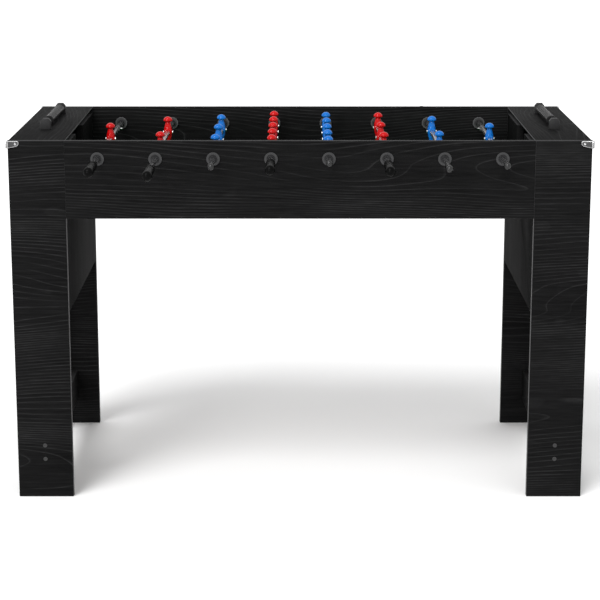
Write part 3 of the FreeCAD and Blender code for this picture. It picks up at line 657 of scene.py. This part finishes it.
def deck_shape(node, side):
    """An end deck with a shadow gap under its inner edge."""
    low, high = (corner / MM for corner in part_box(node))
    inner, outer = (low.x, high.x) if side > 0 else (high.x, low.x)
    lip = high.z - DECK_LIP
    back = inner + side * DECK_GAP
    outline = [(inner, high.z), (outer, high.z), (outer, low.z), (back, low.z), (back, lip), (inner, lip)]
    points = [Vector((x, y, z)) * MM for y in (low.y, high.y) for x, z in outline]
    count = len(outline)
    faces = [tuple(range(count)), tuple(range(count, 2 * count))]
    for step in range(count):
        following = (step + 1) % count
        faces.append((step, following, following + count, step + count))
    shape = bmesh.new()
    shape.from_mesh(mesh_from("deck_outline", points, faces))
    return shape


def make_boards():
    """Every board of the cabinet."""
    for node, thick, grain, across, seed in BOARDS:
        least = SCREW_HEIGHT if node == "leg_stretchers" else 0.0
        board_piece(node, copied(node, least), thick, grain, across, seed)
    for side_name, side in (("left", -1), ("right", 1)):
        node = f"end_deck_{side_name}"
        board_piece(node, deck_shape(node, side), "Z", "Y", "X", DECK_SEED + side)


def make_playfield():
    """The printed board that the ball rolls on."""
    shape = copied("playfield")
    for face in shape.faces:
        face.material_index = 0 if face.normal.z > FACING else 1
    mesh = eased(shape, "playfield_board", width=0.3)
    finishes = [playfield_material(), fibreboard()]
    new_piece("playfield_board", mesh, finishes, CABINET, "playfield", "green_playfield")


# ---------------------------------------------------------------- finishes of the fittings

# Each plastic: name, darkest and lightest colour, range of roughness, gloss.
PLASTICS = {
    "flange": ("bearing_grey", (0.030, 0.030, 0.031), (0.046, 0.046, 0.047), (0.42, 0.55), 0.10),
    # The nuts sit inside the box in shade; their grey is lighter than the housings' as painted light.
    "nut": ("bearing_nut_painted_light", (0.050, 0.050, 0.052), (0.075, 0.075, 0.077), (0.42, 0.55), 0.12),
    "sleeve": ("sleeve_grey", (0.012, 0.012, 0.013), (0.022, 0.022, 0.023), (0.36, 0.48), 0.12),
    "grip": ("handle_black", (0.0008, 0.0008, 0.0008), (0.0020, 0.0020, 0.0021), (0.28, 0.38), 0.05),
    "cap": ("cap_grey", (0.010, 0.010, 0.0102), (0.018, 0.018, 0.0183), (0.10, 0.18), 0.34),
    "rubber": ("bumper_rubber", (0.008, 0.008, 0.008), (0.016, 0.016, 0.016), (0.62, 0.8), 0.2),
    "collar": ("collar_grey", (0.055, 0.055, 0.056), (0.085, 0.085, 0.086), (0.34, 0.5), 0.20),
    "screw_cap": ("screw_cap_grey", (0.026, 0.026, 0.026), (0.044, 0.044, 0.044), (0.4, 0.55), 0.15),
    "counter": ("counter_black", (0.012, 0.012, 0.0125), (0.024, 0.024, 0.0245), (0.42, 0.55), 0.2),
    "bead": ("bead_black", (0.010, 0.010, 0.0102), (0.022, 0.022, 0.0223), (0.16, 0.28), 0.02),
    "red": ("player_red", (0.39, 0.001, 0.002), (0.51, 0.003, 0.004), (0.10, 0.20), 0.20),
    "blue": ("player_blue", (0.002, 0.102, 0.400), (0.005, 0.148, 0.510), (0.10, 0.20), 0.20),
}
# Each metal: name, darkest and lightest colour, range of roughness, axis of its drawn lines.
METALS = {
    "steel": ("rod_steel", (0.42, 0.42, 0.43), (0.58, 0.58, 0.58), (0.16, 0.30), "Y"),
    "zinc": ("bolt_zinc", (0.44, 0.44, 0.445), (0.62, 0.62, 0.62), (0.24, 0.40), "X"),
    # The guard's flat faces are a dark copy of its metal as painted shade, and its rounded rim a bright copy
    # as a painted highlight.
    "guard": ("guard_face_painted_shade", (0.045, 0.045, 0.046), (0.110, 0.110, 0.112), (0.24, 0.40), "X"),
    "guard_rim": ("guard_rim_painted_highlight", (0.62, 0.62, 0.625), (0.80, 0.80, 0.805), (0.20, 0.34), "X"),
}
FINISH = {key: plastic(*values) for key, values in PLASTICS.items()}
FINISH.update({key: metal(*values) for key, values in METALS.items()})


# ---------------------------------------------------------------- bearings


def spot(x, y, z, turn=0.0):
    """A place in metres, turned about the upright axis by a number of degrees."""
    return Matrix.Translation((x, y, z)) @ Matrix.Rotation(math.radians(turn), 4, "Z")


def ring(profile, radius):
    """A closed profile with every corner rounded."""
    wrapped = softened(profile[-1:] + profile + profile[:1], radius)[1:-1]
    return wrapped + wrapped[:1]


# The bearing's housing, its nut and its sleeve, as (along the rod, radius) from the board's outer face.
HOUSING = ring([(-3, 14), (0, 14), (0, 10), (19, 10), (19, 7.5), (-1.9, 7.5), (-1.9, 8.7), (-3, 9.3)], 0.7)
NUT = ring([(15, 10.05), (15, 14), (19, 14), (19, 11.2), (18.2, 10.05)], 0.7)
SLEEVE_TUBE = ring([(-3.5, 5.05), (-3.5, 7.4), (19.5, 7.4), (19.5, 5.05)], 0.5)
FLANGE_THICKNESS = 3 * MM


def make_bearings():
    """A flanged housing, its nut and its turning sleeve at both ends of each rod."""
    housing = lathe("bearing_housing", HOUSING)
    nut = lathe("bearing_nut", NUT, segments=72, ribs=12, rib_depth=0.7)
    sleeve = lathe("bearing_sleeve", SLEEVE_TUBE)
    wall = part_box("rod_bearings")[1].y - FLANGE_THICKNESS
    bearing_slots = ("rod_bearings", "bearing_plastic")
    for name in RODS:
        x, z = rod_axis(name)
        for side_name, side, turn in (("front", -1, 0), ("back", 1, 180)):
            at = spot(x, side * wall, z, turn)
            label = f"{name}_{side_name}"
            new_piece(f"{label}_bearing", housing, [FINISH["flange"]], CABINET, *bearing_slots, at)
            new_piece(f"{label}_bearing_nut", nut, [FINISH["nut"]], CABINET, *bearing_slots, at)
            sleeve_slots = (f"{name}_sleeves", "sleeve_plastic")
            new_piece(f"{label}_sleeve", sleeve, [FINISH["sleeve"]], f"{name}_sleeve_body", *sleeve_slots, at)


# ---------------------------------------------------------------- rods


def rod_axis(name):
    """Where a rod's axis is along the table and above the floor, in metres."""
    low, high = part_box(f"{name}_rod")
    return (low.x + high.x) / 2, (low.z + high.z) / 2


def round_end(middle, radius, start, steps=9):
    """A ball's outline along the axis towards -Y, from a starting radius to its pole."""
    first = math.asin(start / radius)
    angles = [first + (math.pi - first) * step / steps for step in range(steps + 1)]
    return [(middle + radius * math.cos(angle), max(radius * math.sin(angle), 0.0)) for angle in angles]


# The handle from the table end towards -Y: collar, waist and start of the body; the middles of the grip
# rings; the body's end and groove; the ball's middle, its radius and that of the neck before it.
HANDLE_START = [(0, 5.1), (0, 9.5), (-8.5, 9.5), (-9.5, 7.6), (-12.5, 7.6), (-14, 8.9)]
GRIP_RINGS = (-24, -33, -42, -51)
HANDLE_END = [(-60, 8.9), (-69, 7.4), (-73.5, 6.9), (-75.5, 6.2)]
HANDLE_BALL = (-84.5, 10.5, 6.6)
# The thickest place of the handle's body, its radius there, and how fast it tapers both ways.
GRIP_MIDDLE = -36
GRIP_RADIUS = 9.4
GRIP_TAPER = 0.0009


def handle_profile():
    """Collar, waist, body with grip rings, groove and ball, from the table end towards -Y."""
    body = list(HANDLE_START)
    for middle in GRIP_RINGS:
        size = GRIP_RADIUS - GRIP_TAPER * (middle - GRIP_MIDDLE) ** 2
        body += [(middle + 2.6, size), (middle + 0.7, size), (middle, size - 0.55), (middle - 0.7, size)]
    return softened(body + HANDLE_END, 0.5, 2) + round_end(*HANDLE_BALL)


CAP_OUTLINE = [
    (0, 5.1),
    (0, 6.3),
    (0.6, 6.8),
    (2.6, 7.25),
    (8.6, 7.25),
    (9.6, 7.0),
    (11.6, 6.2),
    (13.4, 4.6),
    (14.6, 2.4),
    (15, 0),
]
BUMPER_OUTLINE = [
    (0, 5.05),
    (0, 6.6),
    (1.4, 7.0),
    (3.6, 6.4),
    (5.4, 7.0),
    (8.0, 7.0),
    (9.0, 6.1),
    (9.0, 5.05),
]
COLLAR_OUTLINE = [(-6, 5.05), (-6, 6.0), (-5.4, 6.5), (5.4, 6.5), (6, 6.0), (6, 5.05)]
COLLAR_SCREW_SHANK = [(5, 0), (5, 1.4), (8.5, 1.4), (8.5, 1.8)]
COLLAR_SCREW_HEAD = [(10.2, 1.8), (10.5, 1.4), (10.5, 0.8), (9.6, 0)]
# A man from the sole up: height, half depth, half width along the rod, squareness.
BODY_SECTIONS = [
    (-56.0, 6.4, 8.9, 4.5),
    (-55.4, 7.3, 9.8, 4.5),
    (-52.0, 7.5, 10.0, 4.5),
    (-48.0, 7.0, 9.4, 4.5),
    (-44.5, 6.0, 8.3, 4.0),
    (-41.0, 5.5, 7.7, 3.4),
    (-39.6, 5.9, 8.0, 3.4),
    (-38.6, 5.2, 7.3, 3.2),
    (-32.0, 5.3, 7.4, 3.0),
    (-22.0, 5.5, 7.7, 2.9),
    (-15.2, 5.9, 8.0, 2.8),
    (-14.4, 6.8, 8.8, 2.8),
    (-8.0, 8.0, 9.2, 2.7),
    (0.0, 9.3, 9.7, 2.5),
    (4.0, 9.2, 9.5, 2.4),
    (9.0, 8.5, 9.1, 2.2),
    (14.0, 7.4, 8.0, 2.1),
    (18.0, 6.3, 6.7, 2.0),
    (21.0, 5.7, 5.8, 2.0),
    (25.0, 5.6, 5.6, 2.0),
    (26.2, 6.4, 6.4, 2.0),
]
HAT_OUTLINE = [
    (24.6, 4.8),
    (24.7, 8.6),
    (25.2, 9.8),
    (26.2, 10.2),
    (27.4, 10.1),
    (28.8, 9.7),
    (30.4, 8.9),
    (32.0, 7.5),
    (33.5, 5.4),
    (34.6, 2.9),
    (35.0, 0.0),
]
BOSS_OUTLINE = [(8.6, 8.4), (9.7, 8.2), (10, 7.8), (10, 5.3)]
ARM_SECTIONS = [
    (-3.0, 0.8, 0.9, 2.0),
    (-1.5, 2.0, 1.9, 2.0),
    (5.0, 2.3, 2.1, 2.0),
    (11.0, 2.2, 2.2, 2.0),
    (15.5, 1.7, 1.7, 2.0),
    (17.0, 0.6, 0.6, 2.0),
]


# How far an arm stands from the middle of a man, in millimetres, and its lean, in radians.
ARM_PLACE = 7.9
ARM_LEAN = 0.16
BOLT_HEAD = [(-10.6, 0), (-10.6, 1.5), (-11.5, 1.7), (-11.5, 2.7), (-11.1, 3.2), (-9.4, 3.2)]
BOLT_SHANK = [(-9.4, 1.75), (11.2, 1.75), (11.5, 1.4), (11.5, 0)]
NUT_OUTLINE = [(9.4, 1.8), (9.4, 3.2), (10.9, 3.2), (11.3, 2.8), (11.3, 1.8), (9.4, 1.8)]
# Lengths along a rod, in metres: handle, cap, half a man, and a stop collar from the goalkeeper.
HANDLE_LENGTH = 95 * MM
CAP_LENGTH = 15 * MM
MAN_HALF_WIDTH = 10 * MM
COLLAR_PLACE = 162 * MM


def make_man_mesh(colour):
    """A generic player: hat, neck, torso with arms, hub round the rod, shorts, leg and foot."""
    parts = [loft("man_body", BODY_SECTIONS), lathe("man_hat", HAT_OUTLINE, "Z")]
    for side in (-1, 1):
        boss = lathe("man_boss", [(side * along, radius) for along, radius in BOSS_OUTLINE])
        arm = loft("man_arm", ARM_SECTIONS, segments=12, steps=3)
        lean = Matrix.Rotation(side * ARM_LEAN, 4, "X")
        arm.transform(Matrix.Translation((0, side * ARM_PLACE * MM, 0)) @ lean)
        parts += [boss, arm]
    return joined(f"{colour}_man", parts)


def paint_tube(name):
    """The rod's own steel tube keeps its shape and gets its material."""
    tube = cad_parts[f"{name}_rod"].data
    tube.materials.clear()
    tube.materials.append(FINISH["steel"])


def make_men(name, count, colour, axis, turn, meshes):
    """The men of one rod, each with its bolt and nut."""
    x, z = axis
    man, bolt, nut = meshes
    body = f"{name}_rod_body"
    low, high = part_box(f"{name}_men")
    middle = (low.y + high.y) / 2
    reach = (high.y - low.y) / 2 - MAN_HALF_WIDTH
    men_slots = (f"{name}_men", f"{colour}_player_plastic")
    bolt_slots = (f"{name}_bolts", "fastener_steel")
    for step in range(count):
        y = middle - reach + (2 * reach * step / (count - 1) if count > 1 else 0.0)
        at = spot(x, y, z, turn)
        number = step + 1
        new_piece(f"{name}_man_{number}", man, [FINISH[colour]], body, *men_slots, at, smooth=50)
        new_piece(f"{name}_bolt_{number}", bolt, [FINISH["zinc"]], body, *bolt_slots, at)
        new_piece(f"{name}_nut_{number}", nut, [FINISH["zinc"]], body, *bolt_slots, at, smooth=20)
    return middle, reach


def make_grips(name, axis, turn, handle, cap):
    """The handle on the side its team plays from, and the cap on the other."""
    x, z = axis
    body = f"{name}_rod_body"
    low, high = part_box(f"{name}_handle_and_cap")
    handle_y = high.y - HANDLE_LENGTH if turn else low.y + HANDLE_LENGTH
    cap_y = low.y + CAP_LENGTH if turn else high.y - CAP_LENGTH
    slots = (f"{name}_handle_and_cap", "handle_plastic")
    new_piece(f"{name}_handle", handle, [FINISH["grip"]], body, *slots, spot(x, handle_y, z, turn))
    new_piece(f"{name}_cap", cap, [FINISH["cap"]], body, *slots, spot(x, cap_y, z, turn))


def make_bumpers(name, axis, middle, reach, bumper):
    """The rubber bumper beside each outer man."""
    x, z = axis
    slots = (f"{name}_handle_and_cap", "handle_plastic")
    for end_name, end in (("front", -1), ("back", 1)):
        at = spot(x, middle + end * (reach + MAN_HALF_WIDTH), z, 0 if end > 0 else 180)
        new_piece(f"{name}_bumper_{end_name}", bumper, [FINISH["rubber"]], f"{name}_rod_body", *slots, at)


def make_collars(name, axis, middle, turn, collar, screw):
    """The stop collar on each side of a goalkeeper, with its screw."""
    x, z = axis
    body = f"{name}_rod_body"
    collar_slots = (f"{name}_handle_and_cap", "handle_plastic")
    screw_slots = (f"{name}_bolts", "fastener_steel")
    for end_name, end in (("front", -1), ("back", 1)):
        at = spot(x, middle + end * COLLAR_PLACE, z, turn)
        new_piece(f"{name}_collar_{end_name}", collar, [FINISH["collar"]], body, *collar_slots, at)
        new_piece(f"{name}_collar_screw_{end_name}", screw, [FINISH["zinc"]], body, *screw_slots, at)


def make_rods():
    """Each rod's tube, men, bolts, handle, cap and stops."""
    men = {colour: make_man_mesh(colour) for colour in ("red", "blue")}
    bolt = lathe("man_bolt", BOLT_HEAD + BOLT_SHANK, "X", 24)
    nut = lathe("man_nut", NUT_OUTLINE, "X", 6)
    handle = lathe("handle", handle_profile())
    cap = lathe("ball_cap", CAP_OUTLINE)
    bumper = lathe("rubber_bumper", BUMPER_OUTLINE + BUMPER_OUTLINE[:1])
    collar = lathe("stop_collar", COLLAR_OUTLINE + COLLAR_OUTLINE[:1])
    collar_screw = lathe("collar_screw", COLLAR_SCREW_SHANK + COLLAR_SCREW_HEAD, "X", 20)
    for name, count in RODS.items():
        colour = name.split("_")[0]
        turn = 180 if colour == "blue" else 0
        axis = rod_axis(name)
        paint_tube(name)
        middle, reach = make_men(name, count, colour, axis, turn, (men[colour], bolt, nut))
        make_grips(name, axis, turn, handle, cap)
        if count > 1:
            make_bumpers(name, axis, middle, reach, bumper)
        else:
            make_collars(name, axis, middle, turn, collar, collar_screw)


# ---------------------------------------------------------------- scoring beads

BEAD_FRONT = [(0, 2.7), (0, 8.2), (1.6, 10), (6.0, 10), (6.6, 9.3), (7.2, 10)]
BEAD_BACK = [(12.6, 10), (13.2, 9.3), (13.8, 10), (18.2, 10), (19.8, 8.2), (19.8, 2.7)]
BEAD_OUTLINE = ring(BEAD_FRONT + BEAD_BACK, 0.4)
BEAD_COUNT = 10
BEAD_PITCH = 20 * MM


def make_counters():
    """Two scoring frames, each with a row of beads."""
    mesh = eased(copied("score_counter_frames"), "score_counter_frames_smooth", width=1.0, segments=3)
    frame_slots = ("score_counter_frames", "counter_plastic")
    new_piece("score_counter_frames_smooth", mesh, [FINISH["counter"]], CABINET, *frame_slots)
    bead = lathe("score_bead", BEAD_OUTLINE)
    for side in ("left", "right"):
        low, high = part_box(f"score_beads_{side}")
        body = f"score_beads_{side}_body"
        bead_slots = (f"score_beads_{side}", "bead_plastic")
        for number in range(1, BEAD_COUNT + 1):
            at = spot((low.x + high.x) / 2, high.y - number * BEAD_PITCH, (low.z + high.z) / 2)
            new_piece(f"score_bead_{side}_{number}", bead, [FINISH["bead"]], body, *bead_slots, at)


# ---------------------------------------------------------------- corner guards and leg screws


# A face of a guard with at least this much of its normal along X or Y is flat, not part of its rim; flat
# faces get painted shade, the rim a painted highlight.
FLAT_FACE = 0.99
# A guard's screws: their outline, and how far they are along an arm, in from its face and down.
GUARD_SCREW = [(-0.9, 0), (-0.3, 0.5), (-0.5, 1.1), (-0.9, 1.2), (-0.6, 2.1), (0.1, 2.6), (0.6, 2.6)]
GUARD_SCREW_ALONG = 21 * MM
GUARD_SCREW_IN = 2 * MM
GUARD_SCREW_DOWN = 6.2 * MM
# The cap of a stretcher's screw, how high the two screws are, and half the stretcher's thickness.
LEG_SCREW_CAP = [(-0.3, 0), (-0.3, 1.6), (-0.9, 1.9), (-1.2, 2.6), (-1.0, 3.9), (-0.3, 4.5), (0.3, 4.5)]
LEG_SCREW_HEIGHTS = (("low", 84 * MM), ("high", 114 * MM))
STRETCHER_HALF = 7.5 * MM


def make_guards():
    """The metal guard on each top corner, with two screws."""
    mesh = eased(copied("corner_guards"), "corner_guards_smooth", width=1.1, segments=3)
    # Flat faces take the painted shade, the rim the painted highlight.
    for polygon in mesh.polygons:
        flat = max(abs(polygon.normal.x), abs(polygon.normal.y)) > FLAT_FACE
        polygon.material_index = 0 if flat else 1
    slots = ("corner_guards", "guard_metal")
    new_piece("corner_guards_smooth", mesh, [FINISH["guard"], FINISH["guard_rim"]], CABINET, *slots)
    low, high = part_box("corner_guards")
    screw_x = lathe("guard_screw_side", GUARD_SCREW, "X", 24)
    screw_y = lathe("guard_screw_face", GUARD_SCREW, "Y", 24)
    z = high.z - GUARD_SCREW_DOWN
    for side_name, side, corner_x in (("left", -1, low.x), ("right", 1, high.x)):
        for end_name, end, corner_y in (("front", -1, low.y), ("back", 1, high.y)):
            label = f"guard_screw_{end_name}_{side_name}"
            x, y = corner_x - side * GUARD_SCREW_ALONG, corner_y - end * GUARD_SCREW_IN
            at = spot(x, y, z, 0 if end < 0 else 180)
            new_piece(f"{label}_face", screw_y, [FINISH["zinc"]], CABINET, *slots, at)
            x, y = corner_x - side * GUARD_SCREW_IN, corner_y - end * GUARD_SCREW_ALONG
            at = spot(x, y, z, 0 if side < 0 else 180)
            new_piece(f"{label}_side", screw_x, [FINISH["zinc"]], CABINET, *slots, at)


def make_leg_screws():
    """The screws that hold the stretchers, each with a grey cap."""
    cap = lathe("leg_screw_cap", LEG_SCREW_CAP, "Y", 32)
    stretcher_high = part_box("leg_stretchers")[1].x
    board_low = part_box("leg_front_left")[0].y
    for side_name, side in (("left", -1), ("right", 1)):
        for end_name, end in (("front", -1), ("back", 1)):
            for level_name, z in LEG_SCREW_HEIGHTS:
                x = side * (stretcher_high - STRETCHER_HALF)
                at = spot(x, -end * board_low, z, 0 if end < 0 else 180)
                label = f"leg_screw_{end_name}_{side_name}_{level_name}"
                new_piece(label, cap, [FINISH["screw_cap"]], CABINET, "leg_stretchers", "fastener_steel", at)


make_boards()
make_playfield()
make_bearings()
make_rods()
make_counters()
make_guards()
make_leg_screws()


# ---------------------------------------------------------------- stage, light and camera


WORLD_LIGHT = 0.85
# Each lamp: the side it shines from (0 is the front, positive towards the right), its height,
# its strength and how wide it is, in degrees.
LAMPS = [
    ("key_light", -30, 50, 2.0, 32),
    ("front_light", -24, 10, 0.9, 18),
    ("fill_light", 20, 30, 0.3, 80),
]
FLOOR_REACH = 30.0
CAMERA_PLACE = (0, -4.1493, 1.332)
# How many degrees the camera looks down, its lens and its sensor in millimetres, and how far it sees.
CAMERA_DOWN = 13.1
CAMERA_LENS = 114.1
CAMERA_SENSOR = 36
CAMERA_SIGHT = 100


def make_floor():
    """A pale floor with a faint unevenness."""
    shader = Shader("studio_floor", Roughness=0.9, Specular_IOR_Level=0.1)
    tone = shader.noise(shader.place(), scale=0.6)
    shader.colour(shader.mix(tone, (0.93, 0.93, 0.93), (0.95, 0.95, 0.95)))
    reach = FLOOR_REACH
    corners = [(-reach, -reach, 0), (reach, -reach, 0), (reach, reach, 0), (-reach, reach, 0)]
    mesh = mesh_from("studio_floor", corners, [(0, 1, 2, 3)])
    mesh.materials.append(shader.material)
    floor = bpy.data.objects.new("studio_floor", mesh)
    bpy.context.scene.collection.objects.link(floor)


def make_light():
    """A white surround and soft lamps, the strongest from above on the left."""
    world = bpy.data.worlds.new("studio")
    bpy.context.scene.world = world
    world.use_nodes = True
    background = world.node_tree.nodes["Background"]
    background.inputs["Color"].default_value = (1, 1, 1, 1)
    background.inputs["Strength"].default_value = WORLD_LIGHT
    for name, heading, height, strength, spread in LAMPS:
        light = bpy.data.lights.new(name, "SUN")
        light.energy = strength
        light.angle = math.radians(spread)
        lamp = bpy.data.objects.new(name, light)
        lamp.rotation_euler = (math.radians(90 - height), 0, math.radians(heading))
        bpy.context.scene.collection.objects.link(lamp)


def make_camera():
    """A long lens in front of the table, looking a little down."""
    data = bpy.data.cameras.new("camera")
    data.lens = CAMERA_LENS
    data.sensor_width = CAMERA_SENSOR
    data.clip_end = CAMERA_SIGHT
    camera = bpy.data.objects.new("camera", data)
    camera.location = CAMERA_PLACE
    camera.rotation_euler = (math.radians(90 - CAMERA_DOWN), 0, 0)
    bpy.context.scene.collection.objects.link(camera)
    bpy.context.scene.camera = camera


make_floor()
make_light()
make_camera()
bpy.context.scene.view_settings.view_transform = "Standard"
